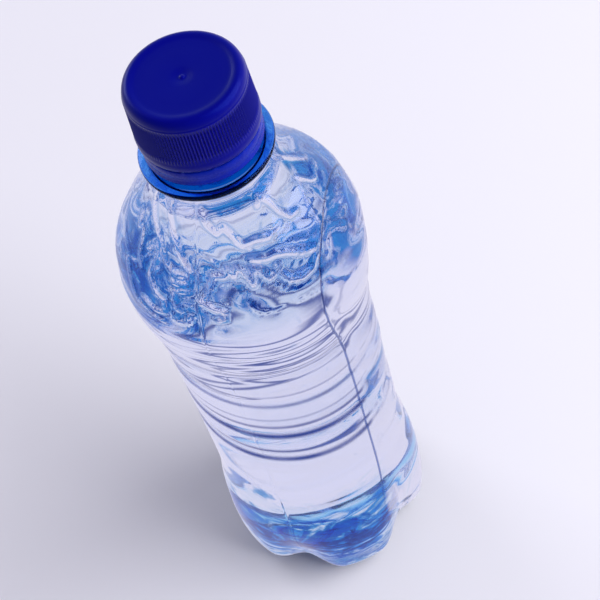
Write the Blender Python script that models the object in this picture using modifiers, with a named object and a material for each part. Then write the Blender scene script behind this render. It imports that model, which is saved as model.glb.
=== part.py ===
"""Half-litre water bottle of thin blue-tinted plastic, wrinkled, creased and squeezed.

The bottle stands on its five feet.  +Z is up, the bottle's axis is the Z axis, and z = 0 is
the surface that the feet stand on.  Lengths are worked out in millimetres and become metres
where a mesh is made.

Pieces: bottle (one blown piece with its neck finish), water, tamper_band, cap_liner, cap.
"""

import math

import bmesh
import bpy

MM = 0.001
COLLECTION = "water_bottle"
SEGMENTS = 50                    # facets round the bottle and the water: ten to each foot
NECK_SEGMENTS = 60               # facets round the band and the liner

# ---- bottle: outside, from the feet to the support ring --------------------------------
RING_Z = 190.0                   # underside of the support ring
RING_RADIUS = 16.5
RING_EDGE = 1.4                  # thickness of the support ring at its edge
RIM_Z = RING_Z + 22.0            # top of the mouth
NECK_RADIUS = 12.5
BORE_RADIUS = 10.9
BEAD_RADIUS = 13.5               # bead that holds the tamper band down
BEAD_Z = RING_Z + 5.4
BEAD_HEIGHT = 2.4
WALL = 0.5                       # blown wall
BODY_STEP = 4.0                  # height of one row of facets
LOWEST_SIDE_Z = 14.0
HIGHEST_SIDE_Z = 186.0

# Radius of the side at some heights: feet, heel, grip, shoulder belt, dome, root of the neck.
SIDE = (
    (14.0, 32.2), (24.0, 32.2), (34.0, 31.4), (44.0, 30.0), (56.0, 29.3), (80.0, 29.2),
    (112.0, 29.3), (128.0, 29.8), (138.0, 31.2), (146.0, 32.2), (153.0, 32.2), (162.0, 29.8),
    (170.0, 24.6), (177.0, 19.4), (182.0, 16.2), (186.0, 13.9),
)
# The foot's outline below that: radius and height, from the heel inwards to the axis.
FOOT = ((31.6, 8.0), (29.8, 3.8), (27.0, 1.0), (24.4, 0.0), (19.6, 0.0), (16.0, 1.6), (9.0, 4.6))
PUNT_Z = 6.0                     # underside of the base on the axis

# ---- what the blowing mould and the squeezing did to the round form --------------------
FEET = 5
FIRST_FOOT = math.radians(4.0)
FOOT_HALF_WIDTH = math.radians(12.0)
VALLEY_LIFT = 4.2                # how far the base rises between two feet
VALLEY_PINCH = 3.6               # how far the heel draws in between two feet
VALLEY_TOP_Z = 36.0
GROOVES = (84.0, 98.0, 115.0, 131.0)
GROOVE_DEPTH = 0.6
GROOVE_HALF_HEIGHT = 4.0
GROOVE_TILT = 0.15               # rise of the grooves across the bottle: it was squeezed askew
SWIRL_DEPTH = 0.6
SWIRL_MID_Z = 168.0
SWIRL_HALF_HEIGHT = 13.0
CREASE_FACING = math.radians(64.0)   # the pressed side faces this way
CREASE_DISTANCE = 25.0           # a flat this far from the axis marks the crease on the wall
CREASE_DEPTH = 0.5
CREASE_FADE = math.radians(26.0)
BUCKLE_DEPTH = 0.45

# ---- cap, liner, tamper band -------------------------------------------------------------
CAP_TOP_Z = RING_Z + 24.8
CAP_SKIRT_Z = RING_Z + 8.85      # lower edge of the cap, above the slit
CAP_BOTTOM_RADIUS = 15.0
CAP_TOP_RADIUS = 14.4
CAP_FLAT_RADIUS = 11.4
CAP_BORE = 13.6
KNURLS = 60
KNURL_DEPTH = 0.35
KNURL_LOW_Z = RING_Z + 11.4
KNURL_HIGH_Z = RING_Z + 21.8
LINER_THICKNESS = 0.8
LINER_RADIUS = 12.5
BAND_LOW_Z = RING_Z + 3.5
BAND_HIGH_Z = RING_Z + 8.5
BAND_RADIUS = 14.6
BAND_BORE = 13.85
BAND_LIP_RADIUS = 12.85
WATER_Z = 182.0                  # the water ends at the first row of facets below this
GAP = 0.32                       # running gap between pieces that touch

# name: (red, green, blue, roughness, transmission)
FINISHES = {
    "bottle": (0.70, 0.86, 1.0, 0.05, 0.9),
    "water": (0.86, 0.94, 1.0, 0.02, 1.0),
    "tamper_band": (0.01, 0.03, 0.50, 0.32, 0.0),
    "cap_liner": (0.80, 0.84, 0.90, 0.45, 0.0),
    "cap": (0.01, 0.02, 0.46, 0.30, 0.0),
}


# ---- form ----------------------------------------------------------------------------------

def ease(t):
    """Smooth step from 0 to 1."""
    t = min(max(t, 0.0), 1.0)
    return t * t * (3.0 - 2.0 * t)


def side_radius(z):
    """Radius of the round side at a height, on a smooth curve through SIDE."""
    if z <= SIDE[0][0]:
        return SIDE[0][1]
    if z >= SIDE[-1][0]:
        return SIDE[-1][1]
    i = max(k for k in range(len(SIDE) - 1) if SIDE[k][0] <= z)

    def slope(k):
        if k == 0 or k == len(SIDE) - 1:
            return 0.0
        return (SIDE[k + 1][1] - SIDE[k - 1][1]) / (SIDE[k + 1][0] - SIDE[k - 1][0])

    (z0, r0), (z1, r1) = SIDE[i], SIDE[i + 1]
    step = z1 - z0
    t = (z - z0) / step
    return (r0 * (1 + 2 * t) * (1 - t) ** 2 + slope(i) * step * t * (1 - t) ** 2
            + r1 * t * t * (3 - 2 * t) - slope(i + 1) * step * t * t * (1 - t))


def valley(angle):
    """0 across each foot, rising to 1 midway between two feet."""
    pitch = math.tau / FEET
    off = abs((angle - FIRST_FOOT + pitch / 2) % pitch - pitch / 2)
    return ease((off - FOOT_HALF_WIDTH) / (pitch / 2 - FOOT_HALF_WIDTH))


def beyond_crease(angle, z):
    """Angle past the crease, into the pressed side; negative outside it."""
    reach = min(CREASE_DISTANCE / side_radius(z), 1.0)
    off = (angle - CREASE_FACING + math.pi) % math.tau - math.pi
    return math.acos(reach) - abs(off)


def swirls(angle, z):
    """Flowing wrinkles of the shoulder, between -1 and 1."""
    up = (z - SWIRL_MID_Z) / SWIRL_HALF_HEIGHT
    bend = 0.9 * math.sin(2 * angle + 2.6 * up) + 0.5 * math.sin(3 * angle - 1.7 * up)
    ridges = math.sin(7 * angle + 1.9 * bend + 1.2 * up)
    waves = math.cos(3.4 * up + 1.5 * math.sin(3 * angle + 1.1) + 0.8 * bend)
    return ridges * waves * math.exp(-up ** 4)


def press(angle, radius, z):
    """How far a point of the round outside moves: outward, and up."""
    out = 0.0
    up = 0.0
    low = valley(angle)
    if z < VALLEY_TOP_Z and low > 0.0:
        height = ease((VALLEY_TOP_Z - z) / (VALLEY_TOP_Z - 10.0))
        inwards = ease(radius / 24.0)
        out -= VALLEY_PINCH * low * height * inwards
        up += VALLEY_LIFT * low * inwards * ease((24.0 - z) / 24.0)
    past = beyond_crease(angle, z)
    side = ease(past / math.radians(7.0) + 0.5)
    tilted = z + GROOVE_TILT * radius * math.sin(angle)
    for groove in GROOVES:
        off = (tilted - groove) / GROOVE_HALF_HEIGHT
        if abs(off) < 1.0:
            out -= GROOVE_DEPTH * (1.0 - 0.9 * side) * 0.5 * (1 + math.cos(math.pi * off))
    if SIDE[0][0] < z < HIGHEST_SIDE_Z:
        calm = 1.0 - 0.6 * side
        out += SWIRL_DEPTH * calm * swirls(angle, z)
        if past > 0.0:
            fade = ease((z - 16.0) / 20.0) * ease((RING_Z - 14.0 - z) / 12.0)
            out -= CREASE_DEPTH * fade * math.exp(-past / CREASE_FADE)
            slant = math.sin(z / 5.2 + 5.5 * angle)
            out += BUCKLE_DEPTH * fade * slant * ease(past / math.radians(12.0))
    return out, up


# ---- outlines ------------------------------------------------------------------------------

def side_heights():
    """Heights of the rows of facets, from the heel to the root of the neck."""
    rows = round((HIGHEST_SIDE_Z - LOWEST_SIDE_Z) / BODY_STEP)
    return [LOWEST_SIDE_Z + k * BODY_STEP for k in range(rows + 1)]


def body_outline():
    """Outside of the blown body, from the root of the neck down to the axis."""
    side = [(side_radius(z), z) for z in reversed(side_heights())]
    return side + list(FOOT) + [(0.0, PUNT_Z)]


def inset(outline, depth):
    """The same outline, moved inwards square to itself."""
    moved = []
    last = len(outline) - 1
    for k, (r, z) in enumerate(outline):
        r0, z0 = outline[max(k - 1, 0)]
        r1, z1 = outline[min(k + 1, last)]
        length = math.hypot(r1 - r0, z1 - z0)
        if k == last:
            moved.append((0.0, z + depth))
        else:
            moved.append((r + depth * (z1 - z0) / length, z - depth * (r1 - r0) / length))
    return moved


def bottle_outline():
    """The wall, from the axis up the inside, over the mouth and down the outside."""
    body = body_outline()
    inside = [point for point in inset(body, WALL) if point[1] < RING_Z - 6.0]
    neck = [
        (BORE_RADIUS, RING_Z - 1.0), (BORE_RADIUS, RIM_Z),
        (NECK_RADIUS - 0.4, RIM_Z), (NECK_RADIUS, RIM_Z - 0.6),
        (NECK_RADIUS, BEAD_Z + BEAD_HEIGHT + 0.6), (BEAD_RADIUS, BEAD_Z + BEAD_HEIGHT - 0.6),
        (BEAD_RADIUS, BEAD_Z + 0.3), (NECK_RADIUS, BEAD_Z), (NECK_RADIUS, RING_Z + 2.4),
        (RING_RADIUS - 0.3, RING_Z + RING_EDGE), (RING_RADIUS, RING_Z + RING_EDGE - 0.3),
        (RING_RADIUS, RING_Z + 0.3), (RING_RADIUS - 0.3, RING_Z), (13.3, RING_Z),
    ]
    backing = list(reversed(body[-len(inside):])) + [None] * len(neck) + body
    return list(reversed(inside)) + neck + body, backing


def water_outline():
    """The water, from its level down to the axis, a running gap inside the wall."""
    body = body_outline()
    filled = [point for point in inset(body, WALL + GAP) if point[1] < WATER_Z]
    level = filled[0][1]
    return [(0.0, level)] + filled, [None] + body[-len(filled):]


# ---- mesh tools ----------------------------------------------------------------------------

def clear_scene():
    """Start from an empty scene with one collection for the bottle."""
    for item in list(bpy.data.objects):
        bpy.data.objects.remove(item)
    group = bpy.data.collections.new(COLLECTION)
    bpy.context.scene.collection.children.link(group)
    return group


def finish(name):
    """Plain material for one piece."""
    red, green, blue, roughness, transmission = FINISHES[name]
    material = bpy.data.materials.new(name)
    material.use_nodes = True
    shader = material.node_tree.nodes["Principled BSDF"]
    shader.inputs["Base Color"].default_value = (red, green, blue, 1.0)
    shader.inputs["Roughness"].default_value = roughness
    shader.inputs["Metallic"].default_value = 0.0
    shader.inputs["Transmission Weight"].default_value = transmission
    return material


def turned(group, name, outline, segments, closed=False):
    """Solid of revolution: the outline runs down its outer side, top to bottom."""
    mesh = bpy.data.meshes.new(name)
    points = [(r * MM, 0.0, z * MM) for r, z in outline]
    edges = [(k, k + 1) for k in range(len(points) - 1)]
    if closed:
        edges.append((len(points) - 1, 0))
    mesh.from_pydata(points, edges, [])
    piece = bpy.data.objects.new(name, mesh)
    group.objects.link(piece)
    screw = piece.modifiers.new("turn", "SCREW")
    screw.steps = segments
    screw.render_steps = segments
    screw.use_merge_vertices = True
    screw.merge_threshold = 0.00001
    graph = bpy.context.evaluated_depsgraph_get()
    solid = bpy.data.meshes.new_from_object(piece.evaluated_get(graph))
    piece.modifiers.clear()
    piece.data = solid
    solid.name = name
    solid.materials.append(finish(name))
    return piece


def split_quads(piece):
    """Split every quad along the diagonal that climbs anticlockwise.

    Both sides of the wall and the water then have matching facets, and stay clear of each
    other where the relief is steep.
    """
    mesh = bmesh.new()
    mesh.from_mesh(piece.data)
    for face in [face for face in mesh.faces if len(face.verts) == 4]:
        centre = face.calc_center_median().xy
        climb = sorted(face.verts, key=lambda v: v.co.z + 0.01 * v.co.xy.length)
        turns = {vertex: centre.angle_signed(vertex.co.xy) for vertex in climb}
        low = max(climb[:2], key=turns.get)
        high = min(climb[2:], key=turns.get)
        bmesh.utils.face_split(face, low, high)
    mesh.to_mesh(piece.data)
    mesh.free()


def squeeze(piece, outline, backing):
    """Give a turned piece the relief and the damage of the wall.

    Each point moves with the point of the outside that it backs, or stays where its
    backing is None.
    """
    for vertex in piece.data.vertices:
        x, y, z = (value / MM for value in vertex.co)
        radius = math.hypot(x, y)
        nearest = min(
            range(len(outline)),
            key=lambda k: math.hypot(outline[k][0] - radius, outline[k][1] - z),
        )
        if backing[nearest] is None:
            continue
        out, up = press(math.atan2(y, x), *backing[nearest])
        grow = (radius + out) / radius if radius > 0.1 else 1.0
        vertex.co = (x * grow * MM, y * grow * MM, (z + up) * MM)


def shade(piece, sharp_degrees):
    """Smooth shading with sharp edges where the form turns a corner."""
    piece.data.shade_smooth()
    piece.data.set_sharp_from_angle(angle=math.radians(sharp_degrees))


# ---- pieces --------------------------------------------------------------------------------

def make_bottle(group):
    """Blown bottle with its neck finish: one wall, open at the mouth."""
    outline, backing = bottle_outline()
    bottle = turned(group, "bottle", outline, SEGMENTS)
    split_quads(bottle)
    squeeze(bottle, outline, backing)
    shade(bottle, 50)


def make_water(group):
    """The water that fills the bottle up to the shoulder."""
    outline, backing = water_outline()
    water = turned(group, "water", outline, SEGMENTS)
    split_quads(water)
    squeeze(water, outline, backing)
    shade(water, 50)


def make_tamper_band(group):
    """Ring torn from the cap, held under the bead of the neck by its lip."""
    outline = [
        (BAND_BORE, BAND_HIGH_Z), (BAND_RADIUS - 0.2, BAND_HIGH_Z),
        (BAND_RADIUS, BAND_HIGH_Z - 0.3), (BAND_RADIUS - 0.1, BAND_LOW_Z + 0.4),
        (BAND_RADIUS - 0.5, BAND_LOW_Z), (BAND_LIP_RADIUS + 0.3, BAND_LOW_Z),
        (BAND_LIP_RADIUS, BAND_LOW_Z + 0.3), (BAND_LIP_RADIUS, BAND_LOW_Z + 1.0),
        (BAND_BORE, BAND_LOW_Z + 1.6),
    ]
    shade(turned(group, "tamper_band", outline, NECK_SEGMENTS, closed=True), 30)


def make_cap_liner(group):
    """Soft sealing disc between the mouth and the cap."""
    low = RIM_Z + GAP
    high = low + LINER_THICKNESS
    outline = [
        (0.0, high), (LINER_RADIUS - 0.2, high), (LINER_RADIUS, high - 0.2),
        (LINER_RADIUS, low + 0.2), (LINER_RADIUS - 0.2, low), (0.0, low),
    ]
    shade(turned(group, "cap_liner", outline, NECK_SEGMENTS), 30)


def make_cap(group):
    """Screw cap with a wide rounded shoulder and a knurled grip."""
    plate_z = RIM_Z + LINER_THICKNESS + 2 * GAP
    corner_z = KNURL_HIGH_Z + 0.6
    corner_width = CAP_TOP_RADIUS - 0.2 - CAP_FLAT_RADIUS
    corner = []
    for step in range(1, 4):
        turn = math.radians(30 * step)
        corner.append((CAP_FLAT_RADIUS + corner_width * math.sin(turn),
                       corner_z + (CAP_TOP_Z - corner_z) * math.cos(turn)))
    outline = [
        (0.0, CAP_TOP_Z), (CAP_FLAT_RADIUS, CAP_TOP_Z), *corner,
        (CAP_TOP_RADIUS, KNURL_HIGH_Z + 0.2), (CAP_TOP_RADIUS, KNURL_HIGH_Z),
        (CAP_BOTTOM_RADIUS, KNURL_LOW_Z), (CAP_BOTTOM_RADIUS, KNURL_LOW_Z - 0.4),
        (CAP_BOTTOM_RADIUS, CAP_SKIRT_Z + 0.5), (CAP_BOTTOM_RADIUS - 0.4, CAP_SKIRT_Z),
        (CAP_BORE + 0.1, CAP_SKIRT_Z), (CAP_BORE, plate_z - 1.0),
        (CAP_BORE - 0.7, plate_z), (0.0, plate_z),
    ]
    cap = turned(group, "cap", outline, 2 * KNURLS)
    for vertex in cap.data.vertices:
        x, y, z = (value / MM for value in vertex.co)
        radius = math.hypot(x, y)
        hollow = round(math.atan2(y, x) / (math.pi / KNURLS)) % 2
        in_grip = KNURL_LOW_Z - 0.1 < z < KNURL_HIGH_Z + 0.1
        if hollow and in_grip and radius > CAP_BORE + 0.2:
            vertex.co.xy *= (radius - KNURL_DEPTH) / radius
    shade(cap, 30)


def main():
    group = clear_scene()
    make_bottle(group)
    make_water(group)
    make_tamper_band(group)
    make_cap_liner(group)
    make_cap(group)


main()
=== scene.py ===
"""Looks of a half-litre water bottle: clear blown plastic, the water in it and a blue screw cap.

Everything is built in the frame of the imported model: metres, +Z up, the bottle standing on its
feet with its axis on Z.  Outlines are worked out in millimetres and become metres where a mesh
is made.  Angles run anticlockwise round the axis, from +X.
"""

import math

import bpy
import numpy as np
from mathutils import Euler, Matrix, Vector


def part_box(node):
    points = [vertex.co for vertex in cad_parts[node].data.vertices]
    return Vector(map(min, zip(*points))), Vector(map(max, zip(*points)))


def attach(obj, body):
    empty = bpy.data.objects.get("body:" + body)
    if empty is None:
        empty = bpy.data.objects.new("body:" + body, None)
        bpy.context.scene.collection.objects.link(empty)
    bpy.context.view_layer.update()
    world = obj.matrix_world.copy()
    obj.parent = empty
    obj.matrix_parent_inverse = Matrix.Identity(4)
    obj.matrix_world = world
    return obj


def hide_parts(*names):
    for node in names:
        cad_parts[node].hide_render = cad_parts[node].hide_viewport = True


bl_info = {
    "name": "Water Bottle",
    "version": (1, 0, 0),
    "blender": (4, 5, 0),
    "location": "3D View > Sidebar > Water Bottle",
    "description": "Builds a wrinkled half-litre water bottle, its water, its cap and a stage",
    "category": "Add Mesh",
}

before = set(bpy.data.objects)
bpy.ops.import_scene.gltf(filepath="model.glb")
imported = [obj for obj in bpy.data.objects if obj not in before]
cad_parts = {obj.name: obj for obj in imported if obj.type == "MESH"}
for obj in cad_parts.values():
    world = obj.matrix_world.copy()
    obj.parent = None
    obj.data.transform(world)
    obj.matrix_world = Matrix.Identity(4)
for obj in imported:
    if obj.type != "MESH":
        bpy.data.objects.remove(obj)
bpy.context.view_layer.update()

MM = 0.001
SMOOTH = {"interpolation_type": "SMOOTHSTEP"}

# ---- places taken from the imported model, in millimetres ------------------------------------

def low_and_high(node):
    """The lowest and the highest point of a node."""
    low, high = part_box(node)
    return low.z / MM, high.z / MM


_, RIM_Z = low_and_high("bottle")
_, WATER_Z = low_and_high("water")
CAP_LOW_Z, CAP_TOP_Z = low_and_high("cap")
BAND_LOW_Z, BAND_HIGH_Z = low_and_high("tamper_band")
LINER_LOW_Z, LINER_HIGH_Z = low_and_high("cap_liner")
RING_Z = RIM_Z - 22.0            # underside of the support ring

# ---- round form of the bottle, in millimetres ----------------------------------------------
# Height and radius of the side: feet, heel, grip, shoulder belt, dome, root of the neck.
SIDE = np.array((
    (14.0, 32.2), (24.0, 32.2), (34.0, 31.4), (44.0, 30.0), (56.0, 29.3), (80.0, 29.2),
    (112.0, 29.3), (128.0, 29.8), (138.0, 31.2), (146.0, 32.2), (153.0, 32.2), (162.0, 29.8),
    (170.0, 24.6), (177.0, 19.4), (182.0, 16.2), (186.0, 13.9),
))
LOWEST_SIDE_Z = SIDE[0][0]
HIGHEST_SIDE_Z = SIDE[-1][0]
# Radius and height of the foot's outline, from the heel inwards to the axis.
FOOT = (
    (31.6, 8.0), (29.8, 3.8), (27.0, 1.0), (24.4, 0.0), (19.6, 0.0), (16.0, 1.6), (9.0, 4.6),
    (0.0, 6.0),
)
FEET = 5
FIRST_FOOT = math.radians(4.0)
FOOT_HALF_WIDTH = math.radians(12.0)
VALLEY_LIFT = 4.2                # how far the base rises between two feet
VALLEY_PINCH = 3.6               # how far the heel draws in between two feet
VALLEY_TOP_Z = 36.0
GROOVES = (84.0, 98.0, 115.0, 131.0)
GROOVE_HALF_HEIGHT = 4.0
# Painted shade along the edges of the grooves: height, half-width and share of dark blue.
GROOVE_SHADE_LINES = (
    (81.3, 2.0, 1.0), (86.0, 1.7, 1.0), (95.2, 2.1, 1.0), (100.6, 1.7, 1.0), (105.0, 0.9, 0.5),
    (112.6, 1.2, 0.7), (118.0, 1.0, 0.5), (131.5, 0.8, 0.4),
)
GROOVE_TILT = 0.15               # rise of the grooves across the bottle: it was squeezed askew
SWIRL_MID_Z = 168.0
SWIRL_HALF_HEIGHT = 13.0
DOME_SLOPE = 1.25                # length along the shoulder for each step up it
# Single wrinkles of the shoulder: half-width, then (degrees round, height) along each.
WRINKLES = (
    (0.95, ((-57, 185), (-56, 182), (-51, 178), (-45, 175.3), (-39, 173), (-36, 170.3),
            (-38, 168.4), (-46, 168.4), (-45, 170), (-40, 170.2))),
    (0.78, ((-38, 167.3), (-44, 166.8), (-45, 164.5), (-42, 162.5))),
    (0.78, ((-30, 165), (-26, 168), (-22, 171), (-16, 170.4), (-13.5, 172.2), (-11, 170.2),
            (-8, 172), (-5, 171), (-2, 167.5), (1, 171), (4, 169.5), (7, 167.6), (10, 168))),
    (0.78, ((-29, 165), (-24, 163.6), (-19, 163), (-20, 160.8), (-23, 160.5))),
    (0.90, ((2, 172.4), (9, 171.6), (16, 171.6), (22, 170.6), (29, 168.4), (36, 167))),
    (0.85, ((14, 169.5), (13, 167.4), (16, 165.4), (22, 164.1), (29, 164), (34, 165.4))),
    (0.95, ((-26, 184), (-22, 181.2), (-16, 179.3), (-10, 180.3), (-5, 178), (0, 175.6),
            (8, 175.8), (17, 175.2))),
    (0.78, ((22, 181.5), (27, 183), (32, 180.8), (34, 177.5), (38, 175), (44, 174.6))),
    (0.90, ((-69, 172), (-64, 174.6), (-60, 172), (-62, 167), (-56, 164.5), (-50, 163.5),
            (-50, 160.5), (-55, 159.5), (-62, 161))),
    (0.78, ((-80, 183.5), (-76, 181), (-71, 178.5), (-65, 176.3))),
    (0.65, ((-88, 176), (-84, 173.6), (-80, 174.5), (-77, 173), (-74, 169), (-70, 167))),
    (0.65, ((-62, 176), (-58, 173.5), (-52, 171), (-47, 169.8))),
    (0.78, ((-82, 165), (-75, 162), (-68, 158.6), (-60, 157.5), (-52, 157))),
    (0.65, ((-44, 161), (-43, 158.5), (-39, 159.4), (-36, 161.5))),
    (0.78, ((70, 184), (76, 181), (82, 178), (88, 174.5))),
    (0.65, ((66, 177), (70, 174), (75, 172.5), (82, 173), (86, 172))),
    (0.78, ((40, 163), (44, 165.6), (50, 166), (55, 164.6), (58, 162.5))),
)
# Painted refraction of blue, deepest at these spots: degrees round, height, half-width and
# half-height, strength.
REFRACTED_BLUE_SPOTS = (
    (-74, 167, 20, 12, 1.3), (-52, 168, 7, 12, 0.8), (-64, 157, 18, 4, 0.9), (-44, 180, 8, 3, 0.6),
    (80, 177, 14, 8, 1.3), (57, 161, 11, 4.5, 1.1), (-21, 162, 4, 2.5, 0.9), (-34, 158, 4, 4, 0.7),
    (24, 166.5, 8, 1.6, 0.5), (-13, 179.5, 6, 2, 0.4), (8, 178, 5, 1.5, 0.4),
    (-44, 55, 9, 3.6, 1.1), (150, 167, 16, 10, 0.8), (-130, 164, 14, 8, 0.7),
    (200, 176, 12, 7, 0.8),
)
# Painted refraction of blue: the direction of its streaks.
STREAK_RUN = (0.75, 0.27, -0.60)     # the streaks of blue run this way
CREASE_FACING = math.radians(64.0)   # the pressed side faces this way
CREASE_DISTANCE = 25.0           # a flat this far from the axis marks the crease on the wall
CREASE_FADE = math.radians(26.0)
SEAM_AZIMUTHS = (math.radians(-32.0), math.radians(148.0))
BORE_RADIUS = 10.9
NECK_RADIUS = 12.5
THREAD_PITCH = 3.18
THREAD_HEIGHT = 0.8
THREAD_START = 1.9               # below the rim
THREAD_TURNS = 1.85
RING_RADIUS = 16.5
BEAD_RADIUS = 13.5
BEAD_Z = RING_Z + 5.4
OVERLAP = 0.08                   # the water reaches this far into the wall, so no air shows
MENISCUS = 0.8                   # the water creeps this far up the wall at its rim
FACET_ALLOWANCE = 0.13           # keeps the smooth side inside the box of the faceted solid

CAP_BOTTOM_RADIUS = 15.0
CAP_TOP_RADIUS = 14.4
CAP_BORE = 13.6
KNURL_LOW_Z = RING_Z + 11.4
KNURL_HIGH_Z = RING_Z + 21.9
BAND_RADIUS = 14.6
BAND_BORE = 13.85
BAND_LIP_RADIUS = 12.85
LINER_RADIUS = 12.5


# ---- form ----------------------------------------------------------------------------------

def ease(t):
    """Smooth step from 0 to 1."""
    t = np.clip(t, 0.0, 1.0)
    return t * t * (3.0 - 2.0 * t)


def side_radius(z):
    """Radius of the round side at a height, on a smooth curve through SIDE."""
    heights, radii = SIDE[:, 0], SIDE[:, 1]
    slopes = np.zeros(len(SIDE))
    slopes[1:-1] = (radii[2:] - radii[:-2]) / (heights[2:] - heights[:-2])
    z = np.clip(z, heights[0], heights[-1])
    i = np.clip(np.searchsorted(heights, z, side="right") - 1, 0, len(SIDE) - 2)
    step = heights[i + 1] - heights[i]
    t = (z - heights[i]) / step
    return (radii[i] * (1 + 2 * t) * (1 - t) ** 2 + slopes[i] * step * t * (1 - t) ** 2
            + radii[i + 1] * t * t * (3 - 2 * t) - slopes[i + 1] * step * t * t * (1 - t))


def away(angle, line):
    """Signed angle from a line up the bottle, between minus and plus half a turn."""
    return (angle - line + math.pi) % math.tau - math.pi


def valley(angle):
    """0 across each foot, rising to 1 midway between two feet."""
    pitch = math.tau / FEET
    off = np.abs((angle - FIRST_FOOT + pitch / 2) % pitch - pitch / 2)
    return ease((off - FOOT_HALF_WIDTH) / (pitch / 2 - FOOT_HALF_WIDTH))


def crease_half_angle(z):
    """Half of the angle that the pressed side takes up at a height."""
    return np.arccos(np.minimum(CREASE_DISTANCE / side_radius(z), 1.0))


def swirls(angle, z):
    """Broad, flowing hills and hollows of the shoulder, between -1 and 1."""
    up = (z - SWIRL_MID_Z) / SWIRL_HALF_HEIGHT
    bend = 0.9 * np.sin(2 * angle + 2.6 * up) + 0.5 * np.sin(3 * angle - 1.7 * up)
    ridges = np.sin(7 * angle + 1.9 * bend + 1.2 * up)
    waves = np.cos(3.4 * up + 1.5 * np.sin(3 * angle + 1.1) + 0.8 * bend)
    return ridges * waves * np.exp(-up ** 4)


def off_vein(angle, z):
    """Distance from the thin winding ridges over the shoulder, in half-widths of a ridge."""
    up = (z - SWIRL_MID_Z) / SWIRL_HALF_HEIGHT
    warp = 1.4 * np.sin(2 * angle + 1.9 * up + 0.7) + 0.7 * np.sin(5 * angle - 3.1 * up)
    field = (np.sin(3 * angle + 1.7 * warp) + 0.9 * np.cos(3.3 * up + 1.5 * warp + 2 * angle)
             + 0.4 * np.sin(9 * angle + 5.0 * up + warp))
    return np.abs(field) / 0.16 + 2.0 * up ** 4


def off_wrinkle(angle, z, radius):
    """Distance from the nearest sharp single wrinkle, in half-widths of that wrinkle."""
    off = np.full(angle.shape, 1e9)
    for width, path in WRINKLES:
        nearest = np.full(angle.shape, 1e9)
        path = np.array(path)
        for (turn_a, z_a), (turn_b, z_b) in zip(path, path[1:]):
            across = away(angle, math.radians(turn_a)) * radius
            along = DOME_SLOPE * (z - z_a)
            end_across = math.radians(turn_b - turn_a) * radius
            end_along = DOME_SLOPE * (z_b - z_a)
            reach = end_across ** 2 + end_along ** 2 + 1e-9
            share = np.clip((across * end_across + along * end_along) / reach, 0.0, 1.0)
            gap = np.hypot(across - share * end_across, along - share * end_along)
            nearest = np.minimum(nearest, gap)
        off = np.minimum(off, nearest / width)
    return off


def pools(angle, z):
    """How deep the painted refraction of blue is, from 0 to 1."""
    deep = np.zeros(angle.shape)
    for turn, height, half_width, half_height, strength in REFRACTED_BLUE_SPOTS:
        across = away(angle, math.radians(turn)) / math.radians(half_width)
        along = (z - height) / half_height
        deep = np.maximum(deep, strength * np.exp(-(across ** 2 + along ** 2)))
    return deep


def drawn_lines(angle, z):
    """Faint level lines that the blowing drew into the belt and the grip."""
    up = (z - 140.0) / 24.0
    wander = 1.3 * np.sin(2 * angle + 0.4) + 0.7 * np.sin(5 * angle + z / 21.0)
    return np.sin(z / 0.95 + wander) * (0.5 + 0.5 * np.sin(z / 5.3 + angle)) * np.exp(-up ** 4)


def press(angle, radius, z, sizes, outside):
    """How far each point of the round outside moves: outward, and up, in millimetres.

    The mould seams and the fold's thin furrow are only on the outside of the wall.
    """
    out = np.full(np.broadcast(angle, z).shape, -FACET_ALLOWANCE)
    low = valley(angle)
    inwards = ease(radius / 24.0)
    out -= VALLEY_PINCH * low * ease((VALLEY_TOP_Z - z) / (VALLEY_TOP_Z - 10.0)) * inwards
    up = VALLEY_LIFT * low * inwards * ease((24.0 - z) / 24.0)

    past = crease_half_angle(z) - np.abs(away(angle, CREASE_FACING))
    side = ease(past / math.radians(7.0) + 0.5)
    # The grooves fade where the bottle was gripped: over the pressed side and at the back.
    back = ease(1.3 - np.abs(away(angle, math.pi)))
    groove_depth = sizes.groove_depth / MM * (1.0 - 0.9 * side) * (1.0 - 0.8 * back)
    for groove in GROOVES:
        tilted = z + GROOVE_TILT * radius * np.sin(angle)
        off = np.clip((tilted - groove) / GROOVE_HALF_HEIGHT, -1.0, 1.0)
        out -= groove_depth * 0.5 * (1 + np.cos(math.pi * off))

    on_side = (z > LOWEST_SIDE_Z) & (z < HIGHEST_SIDE_Z)
    calm = 1.0 - 0.7 * side
    out += np.where(on_side, sizes.swirl_depth / MM * calm * swirls(angle, z), 0.0)
    sharp = calm * np.maximum(0.2 * np.exp(-off_vein(angle, z) ** 2),
                              np.exp(-off_wrinkle(angle, z, radius) ** 2))
    out += np.where(on_side, sizes.wrinkle_height / MM * sharp, 0.0)
    out += np.where(on_side, sizes.line_depth / MM * (1.0 - side) * drawn_lines(angle, z), 0.0)

    fade = ease((z - 16.0) / 20.0) * ease((RING_Z - 14.0 - z) / 12.0)
    beyond = np.maximum(past, 0.0)
    step = ease(beyond * radius / 7.0)
    out -= sizes.crease_depth / MM * fade * step * np.exp(-beyond / CREASE_FADE)
    slant = np.sin(z / 5.2 + 5.5 * angle) + 0.35 * np.sin(z / 1.9 + 9.0 * angle + 1.0)
    out += sizes.buckle_depth / MM * fade * slant * ease(beyond / math.radians(12.0))
    if outside:
        furrow = np.exp(-(past * radius / 0.25) ** 2)
        out -= sizes.furrow_depth / MM * fade * furrow
        for azimuth in SEAM_AZIMUTHS:
            ridge = np.exp(-(away(angle, azimuth) * radius / 0.3) ** 2)
            out += np.where(on_side, sizes.seam_height / MM * ridge, 0.0)
    return out, up


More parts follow.
